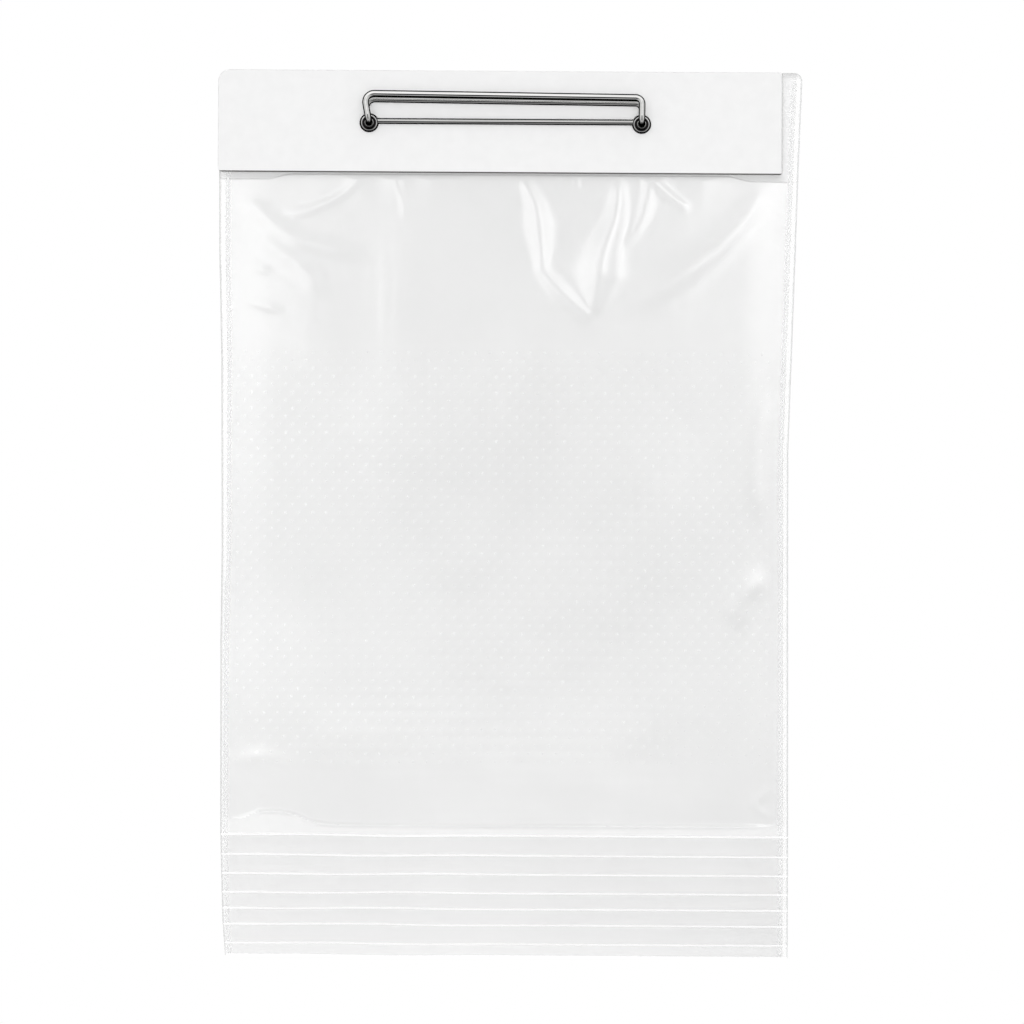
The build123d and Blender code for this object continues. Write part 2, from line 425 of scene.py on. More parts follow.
def sample(grid, u, v):
    """Soft samples of a grid at shares u across and v up."""
    rows, columns = grid.shape
    cu = np.clip(u, 0, 1) * (columns - 1)
    cv = np.clip(v, 0, 1) * (rows - 1)
    i = np.minimum(cu.astype(int), columns - 2)
    j = np.minimum(cv.astype(int), rows - 2)
    fu, fv = smooth(cu - i), smooth(cv - j)
    low = grid[j, i] * (1 - fu) + grid[j, i + 1] * fu
    high = grid[j + 1, i] * (1 - fu) + grid[j + 1, i + 1] * fu
    return low * (1 - fv) + high * fv


# ---- Mesh making --------------------------------------------------------------------------


def make_object(name, points, faces, *materials, smooth_shading=True):
    mesh = bpy.data.meshes.new(name)
    mesh.from_pydata(points.tolist(), [], faces if isinstance(faces, list) else faces.tolist())
    mesh.validate()
    if smooth_shading:
        mesh.shade_smooth()
    for material in materials:
        mesh.materials.append(material)
    piece = bpy.data.objects.new(name, mesh)
    bpy.context.scene.collection.objects.link(piece)
    return piece


def point_normals(points, faces):
    """Area-weighted normals of a quad mesh's points."""
    a, b, c, d = (points[faces[:, k]] for k in range(4))
    normal = np.cross(c - a, d - b)
    total = np.zeros_like(points)
    for k in range(4):
        np.add.at(total, faces[:, k], normal)
    return total / np.maximum(np.linalg.norm(total, axis=1, keepdims=True), 1e-12)


def thicken(points, faces, thickness):
    """Turns a sheet of quads into a closed film of this thickness."""
    offset = point_normals(points, faces) * thickness / 2
    count = len(points)
    edges = np.concatenate([faces[:, [k, (k + 1) % 4]] for k in range(4)])
    key = np.sort(edges, axis=1)
    _, first, uses = np.unique(key, axis=0, return_index=True, return_counts=True)
    rim = edges[first[uses == 1]]
    rim_faces = np.column_stack([rim[:, 1], rim[:, 0], rim[:, 0] + count, rim[:, 1] + count])
    all_faces = np.concatenate([faces, faces[:, ::-1] + count, rim_faces])
    return np.concatenate([points + offset, points - offset]), all_faces


def grid_faces(rows, columns, skip=None):
    """Quads between the points of a grid, apart from the cells to skip."""
    index = np.arange(rows * columns).reshape(rows, columns)
    quads = np.stack([index[:-1, :-1], index[1:, :-1], index[1:, 1:], index[:-1, 1:]], -1)
    keep = np.ones(quads.shape[:2], bool) if skip is None else ~skip
    return quads[keep]


def tube(path, corners):
    """A closed four-sided tube. corners are the places of its edges round each point of path."""
    points = (path[:, None] + corners).reshape(-1, 3)
    last = len(points) - 4
    faces = [(3, 2, 1, 0)]
    for start in range(0, last, 4):
        for side in range(4):
            a, b = start + side, start + (side + 1) % 4
            faces.append((a, b, b + 4, a + 4))
    faces.append((last, last + 1, last + 2, last + 3))
    return points, faces


def join(parts):
    """One mesh from several, each of them (points, faces)."""
    faces = []
    start = 0
    for points, part_faces in parts:
        faces += [tuple(i + start for i in face) for face in part_faces]
        start += len(points)
    return np.concatenate([points for points, _ in parts]), faces


# ---- Materials ----------------------------------------------------------------------------

# colour ramps are lists of (position, grey value or colour)


def new_material(name):
    material = bpy.data.materials.new(name)
    material.use_nodes = True
    tree = material.node_tree
    return material, tree, tree.nodes["Principled BSDF"]


def add_noise(tree, scale, detail=4.0, stretch=(1, 1, 1)):
    """Noise in object space, where stretch scales each axis. Returns its factor socket."""
    place = tree.nodes.new("ShaderNodeTexCoord")
    mapping = tree.nodes.new("ShaderNodeMapping")
    mapping.inputs["Scale"].default_value = stretch
    noise = tree.nodes.new("ShaderNodeTexNoise")
    noise.inputs["Scale"].default_value = scale
    noise.inputs["Detail"].default_value = detail
    tree.links.new(place.outputs["Object"], mapping.inputs["Vector"])
    tree.links.new(mapping.outputs["Vector"], noise.inputs["Vector"])
    return noise.outputs["Fac"]


def add_ramp(tree, source, stops):
    """A colour ramp fed by source."""
    ramp = tree.nodes.new("ShaderNodeValToRGB")
    elements = ramp.color_ramp.elements
    while len(elements) < len(stops):
        elements.new(0.5)
    for element, (position, value) in zip(elements, stops):
        element.position = position
        element.color = (*value, 1) if isinstance(value, tuple) else (value, value, value, 1)
    tree.links.new(source, ramp.inputs["Fac"])
    return ramp.outputs["Color"]


def add_range(tree, source, start, end):
    """0 where source is at start, rising to 1 where it is at end, and held outside that range."""
    rise = tree.nodes.new("ShaderNodeMapRange")
    rise.inputs["From Min"].default_value = start
    rise.inputs["From Max"].default_value = end
    tree.links.new(source, rise.inputs["Value"])
    return rise.outputs["Result"]


def add_math(tree, operation, *sources):
    node = tree.nodes.new("ShaderNodeMath")
    node.operation = operation
    for source, socket in zip(sources, node.inputs):
        tree.links.new(source, socket)
    return node.outputs[0]


def add_mix(tree, factor, first, second):
    """The first colour where factor is 0 and the second where it is 1. The second may be fixed."""
    mix = tree.nodes.new("ShaderNodeMix")
    mix.data_type = "RGBA"
    tree.links.new(factor, mix.inputs["Factor"])
    tree.links.new(first, mix.inputs["A"])
    if isinstance(second, tuple):
        mix.inputs["B"].default_value = second
    else:
        tree.links.new(second, mix.inputs["B"])
    return mix.outputs["Result"]


def add_product(tree, first, second):
    """The product of two colours."""
    mix = tree.nodes.new("ShaderNodeMix")
    mix.data_type = "RGBA"
    mix.blend_type = "MULTIPLY"
    mix.inputs["Factor"].default_value = 1.0
    tree.links.new(first, mix.inputs["A"])
    tree.links.new(second, mix.inputs["B"])
    return mix.outputs["Result"]


def add_split(tree, source):
    """The X, Y and Z of a vector."""
    split = tree.nodes.new("ShaderNodeSeparateXYZ")
    tree.links.new(source, split.inputs["Vector"])
    return split.outputs


def add_bump(tree, shader, source, strength, distance):
    bump = tree.nodes.new("ShaderNodeBump")
    bump.inputs["Strength"].default_value = strength
    bump.inputs["Distance"].default_value = distance
    tree.links.new(source, bump.inputs["Height"])
    tree.links.new(bump.outputs["Normal"], shader.inputs["Normal"])


def facing_away(tree):
    """0 where the surface faces the viewer, rising to 1 at its outline."""
    weight = tree.nodes.new("ShaderNodeLayerWeight")
    weight.inputs["Blend"].default_value = 0.5
    return weight.outputs["Facing"]


def film_material(name, alpha, low, high, roughness, painted_glow=0.0):
    """Clear film: faintly uneven tone, a glossy skin and fine drawing lines from extrusion. Its emission is
    painted light, which brightens it where the lamps leave it dark."""
    material, tree, shader = new_material(name)
    cloud = add_noise(tree, 22.0, 3.0)
    tree.links.new(add_ramp(tree, cloud, [(0.3, low), (0.7, high)]), shader.inputs["Base Color"])
    shader.inputs["Alpha"].default_value = alpha
    shader.inputs["Roughness"].default_value = roughness
    shader.inputs["Specular IOR Level"].default_value = 1.0
    shader.inputs["Coat Weight"].default_value = 1.0
    shader.inputs["Coat Roughness"].default_value = roughness * 0.7
    # painted light: the film shines white by this much
    shader.inputs["Emission Color"].default_value = (1, 1, 1, 1)
    shader.inputs["Emission Strength"].default_value = painted_glow
    lines = add_noise(tree, 260.0, 2.0, (1.0, 1.0, 0.25))
    add_bump(tree, shader, lines, 0.05, 0.05 * MM)
    return material


def make_metal(tree, shader, colour, bright):
    """Polished metal whose colour is multiplied by the second colour, which paints shade on it where that colour
    is dark.
    """
    tree.links.new(add_product(tree, colour, bright), shader.inputs["Base Color"])
    shader.inputs["Metallic"].default_value = 1.0
    shader.inputs["Specular Tint"].default_value = (0.1, 0.1, 0.1, 1)


def wire_material(name, low, high):
    """Bright drawn steel: mirror-like, with fine drawing marks along the wire, and painted shade that
    makes it nearly black along its outline."""
    material, tree, shader = new_material(name)
    marks = add_noise(tree, 900.0, 5.0, (0.04, 1.0, 1.0))
    steel = add_ramp(tree, marks, [(0.3, (low, low, low * 0.985)), (0.7, (high, high, high * 0.985))])
    # painted shade: the colour falls nearly to black towards the wire's outline, as seen from the viewer
    middle = add_ramp(tree, facing_away(tree), [(0.0, 1.0), (0.2, 1.0), (0.29, 0.012), (1.0, 0.005)])
    make_metal(tree, shader, steel, middle)
    tree.links.new(add_ramp(tree, marks, [(0.3, 0.02), (0.75, 0.05)]), shader.inputs["Roughness"])
    add_bump(tree, shader, marks, 0.08, 0.03 * MM)
    return material


def washer_material():
    """Dark polished nickel with light wear, and a painted highlight: its colour is bright only along the shoulder
    of its dome.
    """
    material, tree, shader = new_material("dark_nickel")
    wear = add_noise(tree, 700.0, 6.0)
    nickel_tone = add_ramp(tree, wear, [(0.35, (0.55, 0.55, 0.55)), (0.75, (0.78, 0.77, 0.76))])
    # painted highlight: a bright ring of colour where the dome's shoulder turns from the viewer, dark elsewhere
    shoulder = add_ramp(tree, facing_away(tree), [
        (0.0, 0.008), (0.06, 0.01), (0.12, 1.0), (0.2, 1.0), (0.28, 0.01), (1.0, 0.005)])
    make_metal(tree, shader, nickel_tone, shoulder)
    tree.links.new(add_ramp(tree, wear, [(0.3, 0.04), (0.8, 0.12)]), shader.inputs["Roughness"])
    return material


def card_material():
    """Coated white card: near-white satin face with faint fibre. Faces that turn downwards are dark,
    partly the grey core of the cut edge and partly painted shade, and a painted shade line runs along
    the bottom of the face."""
    material, tree, shader = new_material("white_card")
    fibre = add_noise(tree, 160.0, 8.0)
    face = add_ramp(tree, fibre, [(0.35, 0.915), (0.65, 0.935)])
    normal = tree.nodes.new("ShaderNodeNewGeometry").outputs["Normal"]
    place = tree.nodes.new("ShaderNodeTexCoord").outputs["Object"]
    # downward faces take the dark colour: partly the grey core of the cut edge, partly painted shade
    faces_down = add_range(tree, add_split(tree, normal)["Z"], -0.45, -0.85)
    # painted shade: a dark line along the bottom of the face, for the shaded gap between card and film
    line_top = header_low.z + PAINTED_SHADE_LINE
    painted_line = add_range(tree, add_split(tree, place)["Z"], line_top, line_top - 0.3 * PAINTED_SHADE_LINE)
    core_and_painted_shade = add_math(tree, "MAXIMUM", faces_down, painted_line)
    tree.links.new(add_mix(tree, core_and_painted_shade, face, (0.10, 0.095, 0.09, 1)), shader.inputs["Base Color"])
    shader.inputs["Roughness"].default_value = 0.55
    add_bump(tree, shader, fibre, 0.12, 0.04 * MM)
    return material


def chipboard_material():
    """Uncoated grey-brown board, speckled with fibres."""
    material, tree, shader = new_material("chipboard")
    fibre = add_noise(tree, 420.0, 10.0, (1.0, 1.0, 0.35))
    board = add_ramp(tree, fibre, [
        (0.3, (0.30, 0.26, 0.21)), (0.5, (0.46, 0.41, 0.34)), (0.75, (0.60, 0.55, 0.47))])
    tree.links.new(board, shader.inputs["Base Color"])
    shader.inputs["Roughness"].default_value = 0.92
    add_bump(tree, shader, fibre, 0.35, 0.08 * MM)
    return material


def rubber_material():
    """Matt black moulded rubber with a fine grain and a little dust."""
    material, tree, shader = new_material("stopper_rubber")
    grain = add_noise(tree, 1500.0, 6.0)
    tree.links.new(add_ramp(tree, grain, [(0.35, 0.014), (0.75, 0.05)]), shader.inputs["Base Color"])
    tree.links.new(add_ramp(tree, grain, [(0.3, 0.55), (0.7, 0.8)]), shader.inputs["Roughness"])
    add_bump(tree, shader, grain, 0.3, 0.05 * MM)
    return material


def paint(node_name, slot_name, material):
    """Gives a CAD node its finish."""
    for slot in nodes[node_name].material_slots:
        slot.material = material
    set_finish(nodes[node_name], slot_name)


film = film_material("clear_film", 0.5, 0.895, 0.92, 0.24)
# whitened film for the chain welds, and for the strips along the folds, where it is a painted highlight
weld_white_and_painted_highlight = film_material("whitened_film", 0.95, 0.98, 1.0, 0.4, painted_glow=0.12)
# clearer film outside the welds, with a faint emission that is painted light
skirt_film = film_material("skirt_film", 0.3, 0.98, 1.0, 0.3, painted_glow=0.03)
dot_film = film_material("dot_film", 0.13, 0.99, 1.0, 0.3)
nickel = washer_material()
rubber = rubber_material()

paint("wicket_wire", "bright_wire", wire_material("bright_wire", 0.82, 0.92))
# the keeper's steel is a darker copy of the same bright wire: painted shade for the shadow of the bar above it
paint("keeper_frame", "bright_wire", wire_material("keeper_wire", 0.5, 0.64))
paint("header_card", "white_card", card_material())
paint("back_card", "chipboard", chipboard_material())
paint("rear_stopper_left", "stopper_rubber", rubber)
paint("rear_stopper_right", "stopper_rubber", rubber)

# ---- Bags ---------------------------------------------------------------------------------


def spread(start, end, step):
    """Evenly spaced values from start to end, about step apart, both ends included."""
    return np.linspace(start, end, max(2, round(abs(end - start) / step) + 1))


def columns_across(step):
    """Shares across the film from left to right, closer together at the welds."""
    width = right_low - film_left
    weld_left, weld_right = LEFT_WELD / width, 1 - RIGHT_WELD / width
    inner_left, inner_right = weld_left + 0.03, weld_right - 0.03
    return np.unique(np.concatenate([
        np.linspace(0, weld_left, 4), np.linspace(weld_left, inner_left, 5),
        spread(inner_left, inner_right, step / width), np.linspace(inner_right, weld_right, 5),
        np.linspace(weld_right, 1, 4),
    ]))


def on_skirt(points, faces):
    """Which faces lie outside the chain welds."""
    x, _, z = points[faces].mean(1).T
    return (x < left_weld(z) - CHAIN_WIDTH / 2) | (x > right_weld(z) + CHAIN_WIDTH / 2)


def layer_gap(x, z, bottom):
    """Gap between the two layers of a pouch: closed at the welds and towards the fold."""
    above = smooth((z - bottom) / GAP_RUN_IN)
    return WELD_GAP + (LAYER_GAP - WELD_GAP) * weld_share(x, z) * (0.25 + 0.75 * above)


def hanging_y(number, z):
    """Middle of a bag at height z: the bags hang closer together towards the bottom."""
    low = smooth((hinge_z - CLOSING_FROM - z) / CLOSING_OVER)
    return bag_y(number) + CLOSING * low * (bag_y(bag_count) - bag_y(number))


def fold_line(x, number):
    """Height of the bottom fold, which isn't quite straight."""
    x = x / MM
    wave = 0.35 * np.sin(x / 19 + 0.9 * number) * np.exp(-(((x + 60) / 50) ** 2))
    return bag_bottom(number) + (wave + 0.05) * MM


def back_heights(bottom, step):
    """Heights of the rows down the back of a bag: closer together where the film bends."""
    bend_top, bend_end = hinge_z + BEND_ABOVE, hinge_z - BEND_BELOW
    return np.concatenate([
        spread(film_top, bend_top, 3 * MM)[:-1],
        spread(bend_top, bend_end, 0.5 * MM)[:-1],
        spread(bend_end, bottom + FOLD_ZONE, step)[:-1],
        spread(bottom + FOLD_ZONE, bottom + FOLD_HEIGHT, 0.8 * MM),
    ])


def layer_row(number, shares, height, side):
    """A row of points across one layer of a bag. side is 1 for the back layer, -1 for the front."""
    bottom = bag_bottom(number)
    z = np.full(shares.shape, height)
    x = across(shares, z)
    broad = weld_share(x, z, BROAD_RUN_IN)
    shared = (drape(x / MM, z / MM) + bag_wander(x / MM, z / MM, number)) * broad
    is_pouch = smooth((hinge_z + MM - z) / (4 * MM))
    y = hanging_y(number, z) - shared * MM * is_pouch
    y = y + side / 2 * layer_gap(x, z, bottom) * is_pouch
    if side < 0:
        near_fold = smooth((bottom + 3 * FOLD_HEIGHT - z) / (2 * FOLD_HEIGHT))
        y = y - FOLD_FLARE * weld_share(x, z) * near_fold
    follow = np.clip((bottom + FOLD_ZONE - height) / FOLD_ZONE, 0, 1)
    return np.stack([x, y, z + follow * (fold_line(x, number) - bottom)], -1)


def fold_row(number, shares, angle):
    """A row of points round the bottom fold: angle goes from 0 at the back to pi at the front."""
    bottom = bag_bottom(number)
    z = np.full(shares.shape, bottom)
    x = across(shares, z)
    half = layer_gap(x, z + FOLD_HEIGHT, bottom) / 2
    flare = FOLD_FLARE * weld_share(x, z)
    y = hanging_y(number, bottom) - flare * 0.5 * (1 - math.cos(angle)) + half * math.cos(angle)
    return np.stack([x, y, fold_line(x, number) + LAYER_GAP / 2 * (1 - math.sin(angle))], -1)


def bag_sheet(number, step):
    """One bag as a single folded sheet, from the lip's top down its back and round the bottom
    fold, then up the front to the mouth. The front bag's front layer is a piece of its own."""
    shares = columns_across(step)
    heights = back_heights(bag_bottom(number), step)
    rows = [layer_row(number, shares, z, 1) for z in heights]
    for k in range(FOLD_STEPS):
        rows.append(fold_row(number, shares, math.pi * (k + 0.5) / FOLD_STEPS))
    if number > 1:
        below_mouth = heights[::-1][heights[::-1] < mouth_z - 0.1 * MM]
        rows += [layer_row(number, shares, z, -1) for z in [*below_mouth, mouth_z]]
    return np.array(rows)


def round_top_corners(points):
    """Rounds the upper corners of the lip. The left one stays behind the card's corner."""
    for side, edge, radius in ((1, film_left, LEFT_CORNER_R), (-1, right_top, RIGHT_CORNER_R)):
        centre_x, centre_z = edge + side * radius, film_top - radius
        dx, dz = points[..., 0] - centre_x, points[..., 2] - centre_z
        in_corner = (dx * side < 0) & (dz > 0)
        reach = np.maximum(np.abs(dx), np.abs(dz))
        scale = reach / np.maximum(np.hypot(dx, dz), 1e-9)
        points[..., 0] = np.where(in_corner, centre_x + dx * scale, points[..., 0])
        points[..., 2] = np.where(in_corner, centre_z + dz * scale, points[..., 2])
    return points


def hole_centre(side):
    """Centre (x, z) of one of the lip's two holes, from the rim of the hole in the frame."""
    rim = np.array([(v.co.x, v.co.z) for v in nodes["bag_1_lip"].data.vertices
                    if abs(v.co.x - side * leg_x) < HOLE_D and abs(v.co.z) < HOLE_D])
    return (rim.min(0) + rim.max(0)) / 2


def cut_holes(points):
    """Faces of the sheet with the two holes of the lip cut out: the cells round each hole are
    taken away and a ring of faces leads in to the rim. Returns all points and faces."""
    rows, columns = points.shape[:2]
    skip = np.zeros((rows - 1, columns - 1), bool)
    index = np.arange(rows * columns).reshape(rows, columns)
    flat = points.reshape(-1, 3)
    rings = []
    lip_rows = np.count_nonzero(points[:, 0, 2] > hinge_z)
    for side in (-1, 1):
        x, z = hole_centre(side)
        near_x = np.flatnonzero(np.abs(points[lip_rows // 2, :, 0] - x) < HOLE_REACH)
        near_z = np.flatnonzero(np.abs(points[:lip_rows, 0, 2] - z) < HOLE_REACH)
        top, bottom, left, right = near_z[0], near_z[-1], near_x[0], near_x[-1]
        skip[top:bottom, left:right] = True
        loop = np.concatenate([index[top, left:right], index[top:bottom, right],
                               index[bottom, right:left:-1], index[bottom:top:-1, left]])
        angle = np.arctan2(flat[loop, 2] - z, flat[loop, 0] - x)
        rim = np.stack([x + HOLE_D / 2 * np.cos(angle), flat[loop, 1], z + HOLE_D / 2 * np.sin(angle)], -1)
        inner = len(flat) + np.arange(len(loop))
        flat = np.concatenate([flat, rim])
        rings.append(np.column_stack([loop, inner, np.roll(inner, -1), np.roll(loop, -1)]))
    return flat, np.concatenate([grid_faces(rows, columns, skip)] + rings)


def chain_weld(number, side):
    """The chain-shaped weld down one side: two strands that cross each other."""
    z = np.arange(bag_bottom(number) + MM, film_top - 3 * MM, CHAIN_PITCH / TURN_STEPS)
    x = left_weld(z) if side < 0 else right_weld(z)
    y = hanging_y(number, z) - (WELD_GAP / 2 + FILM_T) * smooth((hinge_z - z) / BEND_BELOW) - FILM_T / 2
    swing = (CHAIN_WIDTH - STRAND_D) / 2 * np.sin(2 * math.pi * z / CHAIN_PITCH + 0.4)
    corners = np.array([(-1, 0, 0), (0, -1, 0), (1, 0, 0), (0, 1, 0)]) * STRAND_D / 2
    return join([tube(np.stack([x + strand * swing, y, z], -1), corners) for strand in (-1, 1)])


def painted_fold_highlight(number):
    """A fine flat white strip along the bottom fold, from weld to weld: painted highlight of the fold."""
    z = np.full(BEAD_STEPS, bag_bottom(number))
    x = np.linspace(left_edge(z[0]) + 0.3 * MM, right_edge(z[0]) - 0.3 * MM, len(z))
    height = FRONT_BEAD_HEIGHT if number == 1 else BEAD_HEIGHT
    y = hanging_y(number, z) - (LAYER_GAP / 8 + FOLD_FLARE) * weld_share(x, z) - BEAD_T
    path = np.stack([x, y, fold_line(x, number) + height / 2 - FILM_T], -1)
    corners = np.array([(0, -1, -1), (0, -1, 1), (0, 1, 1), (0, 1, -1)]) * (0, BEAD_T / 2, height / 2)
    return tube(path, corners)


def build_bag(number):
    """One bag as one piece: its film, its chain welds and a white strip painting its fold's highlight."""
    step = OUTER_STEP if number in (1, bag_count) else INNER_STEP
    sheet_points, sheet_faces = thicken(*cut_holes(round_top_corners(bag_sheet(number, step))), FILM_T)
    bead = painted_fold_highlight(number)
    points, faces = join([(sheet_points, sheet_faces.tolist()), chain_weld(number, -1),
                          chain_weld(number, 1), bead])
    piece = make_object(f"bag_{number}_film", points, faces, film, weld_white_and_painted_highlight, skirt_film)
    material_index = np.ones(len(faces), np.int32)
    material_index[:len(sheet_faces)] = np.where(on_skirt(sheet_points, sheet_faces), 2, 0)
    piece.data.polygons.foreach_set("material_index", material_index)
    rounded = np.arange(len(faces)) < len(faces) - len(bead[1])
    piece.data.polygons.foreach_set("use_smooth", rounded)
    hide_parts(f"bag_{number}_lip", f"bag_{number}_pouch")
    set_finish(piece, "clear_film")
    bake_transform(piece)


# ---- Front layer of the front bag ---------------------------------------------------------


def front_surface(x, z, cloth_grid):
    """Position y of the front bag's front layer."""
    u = (x - film_left) / (right_low - film_left)
    v = (z - first_bottom) / (mouth_z - first_bottom)
    broad = weld_share(x, z, BROAD_RUN_IN)
    cloth = sample(cloth_grid, u, v) * broad
    relief = front_relief(x / MM, z / MM, cloth) * weld_share(x, z)
    shared = drape(x / MM, z / MM) * broad
    room = np.maximum(ROOM_AT_MOUTH, ROOM_BELOW * smooth((mouth_z - z) / (ROOM_RUN_IN * MM)))
    relief = np.minimum(relief, room)
    base = layer_gap(x, z, first_bottom) / 2 + FILM_T
    return hanging_y(1, z) - base - (relief + np.maximum(shared, 0)) * MM


def blend_front(piece):
    """Bakes the piece's placement into its mesh."""
    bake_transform(piece)


def mouth_dip(x, z):
    """How far the film is lowered at the corners of the mouth."""
    corner = 1 - smooth((inside_welds(x, z) - DIP_WIDTH) / DIP_RUN_OUT)
    return MOUTH_DIP * corner * smooth((z - mouth_z + MOUTH_BAND) / MOUTH_BAND)


def build_front_layer(cloth_grid):
    """One sheet from just above the fold to the mouth, clearer below its seal and on its skirt."""
    heights = np.concatenate([
        spread(first_bottom + 0.6 * MM, first_bottom + MOUTH_BAND, 0.4 * MM)[:-1],
        spread(first_bottom + MOUTH_BAND, mouth_z - MOUTH_BAND, 1.5 * MM)[:-1],
        spread(mouth_z - MOUTH_BAND, mouth_z, 0.8 * MM),
    ])
    shares, z = np.meshgrid(columns_across(1.5 * MM), heights)
    x = across(shares, z)
    z = z - mouth_dip(x, z)
    points = np.stack([x, front_surface(x, z, cloth_grid), z], -1).reshape(-1, 3)
    sheet_points, faces = thicken(points, grid_faces(*z.shape), FILM_T)
    piece = make_object("bag_1_front_film", sheet_points, faces, film, skirt_film)
    centres = sheet_points[faces].mean(1)
    sealed = centres[:, 2] < on_line(SEAL, centres[:, 0] / MM) * MM
    clearer = on_skirt(sheet_points, faces) | sealed
    piece.data.polygons.foreach_set("material_index", clearer.astype(np.int32))
    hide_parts("bag_1_mouth_panel")
    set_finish(piece, "clear_film")
    blend_front(piece)


def dome(radius, height, sides=8):
    """A low closed lens that stands towards -Y."""
    angles = np.arange(sides) * 2 * math.pi / sides
    rim = np.stack([radius * np.cos(angles), np.full(sides, DOT_SINK), radius * np.sin(angles)], -1)
    shoulder = np.stack([0.6 * radius * np.cos(angles), np.full(sides, -0.75 * height),
                         0.6 * radius * np.sin(angles)], -1)
    points = np.concatenate([rim, shoulder, [(0, -height, 0), (0, DOT_SINK, 0)]])
    faces = []
    for k in range(sides):
        after = (k + 1) % sides
        faces.append((k, after, sides + after, sides + k))
        faces.append((sides + k, sides + after, 2 * sides))
        faces.append((after, k, 2 * sides + 1))
    return points, faces


def build_dots(cloth_grid):
    """The embossed dots of the front bag: staggered rows over the middle of the pouch, fainter in
    some patches than in others."""
    places = []
    for row, z in enumerate(np.arange(DOTS_LOW, DOTS_HIGH, DOT_PITCH_Z)):
        offset = (row % 2) * DOT_PITCH_X / 2
        places += [(x, z) for x in np.arange(-DOTS_ASIDE + offset, DOTS_ASIDE, DOT_PITCH_X)]
    x, z = np.array(places).T
    centres = np.stack([x, front_surface(x, z, cloth_grid) - FILM_T / 2, z], -1)
    patch = 0.5 + 0.5 * np.sin(x / (31 * MM) + 1.2) * np.sin(z / (23 * MM) + x / (60 * MM))
    dot_points, dot_faces = dome(DOT_D / 2, DOT_HEIGHT)
    points, faces = join([(centre + dot_points * size, dot_faces)
                          for centre, size in zip(centres, 0.55 + 0.45 * patch)])
    piece = make_object("bag_1_embossed_dots", points, faces, dot_film, smooth_shading=False)
    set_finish(piece, "clear_film")
    blend_front(piece)


# ---- Washers ------------------------------------------------------------------------------

# half section of a washer with a domed face, as (radius, depth) in millimetres
WASHER_SECTION = ((1.66, 0.0), (1.66, 0.72), (1.85, 1.0), (2.3, 1.18), (2.9, 1.14), (3.5, 0.92),
                  (3.95, 0.56), (4.14, 0.22), (4.14, 0.0))
WASHER_SIDES = 64


def build_washer(name):
    """A pressed washer, turned from its half section."""
    low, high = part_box(name)
    centre = (low + high) / 2
    angles = np.arange(WASHER_SIDES) * 2 * math.pi / WASHER_SIDES
    circle = np.stack([np.cos(angles), np.zeros(WASHER_SIDES), np.sin(angles)], -1)
    rings = [np.array((centre.x, high.y - depth * MM, centre.z)) + radius * MM * circle
             for radius, depth in WASHER_SECTION]
    faces = []
    for ring in range(len(rings)):
        start, after = ring * WASHER_SIDES, (ring + 1) % len(rings) * WASHER_SIDES
        for k in range(WASHER_SIDES):
            turn = (k + 1) % WASHER_SIDES
            faces.append((start + k, after + k, after + turn, start + turn))
    piece = make_object(name + "_domed", np.concatenate(rings), faces, nickel)
    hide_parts(name)
    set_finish(piece, "dark_nickel")
    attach(piece, "wicket")


# ---- Stage, light and camera --------------------------------------------------------------

FLOOR_REACH = 6.0            # from the middle of the floor to its edges
FLOOR_GAP = 0.03             # the pack hangs this far above it
VIEW_WIDTH = 0.478           # width of the picture at the front bag
VIEW_X = 4.2 * MM            # middle of the picture
VIEW_Z = -181.1 * MM
ROLL = -0.35                 # degrees that the camera is turned
SENSOR = 36.0
LENS = 200.0
WHITE = (1, 1, 1, 1)


def stage_material():
    """Pale floor that the camera sees as pure white from above and doesn't see from below."""
    material = bpy.data.materials.new("pale_floor")
    material.use_nodes = True
    tree = material.node_tree
    tree.nodes.clear()
    output = tree.nodes.new("ShaderNodeOutputMaterial")
    geometry = tree.nodes.new("ShaderNodeNewGeometry")
    white = tree.nodes.new("ShaderNodeEmission")
    clear = tree.nodes.new("ShaderNodeBsdfTransparent")
    mix = tree.nodes.new("ShaderNodeMixShader")
    tree.links.new(geometry.outputs["Backfacing"], mix.inputs[0])
    tree.links.new(white.outputs[0], mix.inputs[1])
    tree.links.new(clear.outputs[0], mix.inputs[2])
    tree.links.new(mix.outputs[0], output.inputs["Surface"])
    return material


def make_floor():
    """A floor that only the camera sees, so that it adds no light."""
    corners = np.array([(x * FLOOR_REACH, y * FLOOR_REACH, cad_low.z - FLOOR_GAP)
                        for x, y in ((-1, -1), (1, -1), (1, 1), (-1, 1))])
    floor = make_object("floor", corners, [(0, 1, 2, 3)], stage_material(), smooth_shading=False)
    for ray in ("visible_diffuse", "visible_glossy", "visible_transmission", "visible_shadow"):
        setattr(floor, ray, False)
    floor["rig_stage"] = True


def reflected_room(tree, upward, direction):
    """What the pack mirrors. Straight ahead the room is white above the horizon and dark below it,
    with a light strip near the floor. It is an even grey to the sides and dark behind the pack."""
    ahead = add_ramp(tree, upward, [
        (0.0, 0.01), (0.03, 0.01), (0.05, 0.6), (0.12, 0.6), (0.16, 0.01), (0.45, 0.01), (0.48, 1.0),
        (1.0, 1.0)])
    aside = add_ramp(tree, upward, [(0.0, 0.25), (0.35, 0.62), (0.65, 0.72), (0.72, 1.0)])
    turned = add_range(tree, add_math(tree, "ABSOLUTE", direction["X"]), 0.10, 0.30)
    room = add_mix(tree, turned, ahead, aside)
    backward = add_range(tree, direction["Y"], -1.0, 1.0)
    wall = add_ramp(tree, backward, [(0.0, 1.0), (0.86, 1.0), (0.93, 0.04), (1.0, 0.02)])
    return add_product(tree, room, wall)


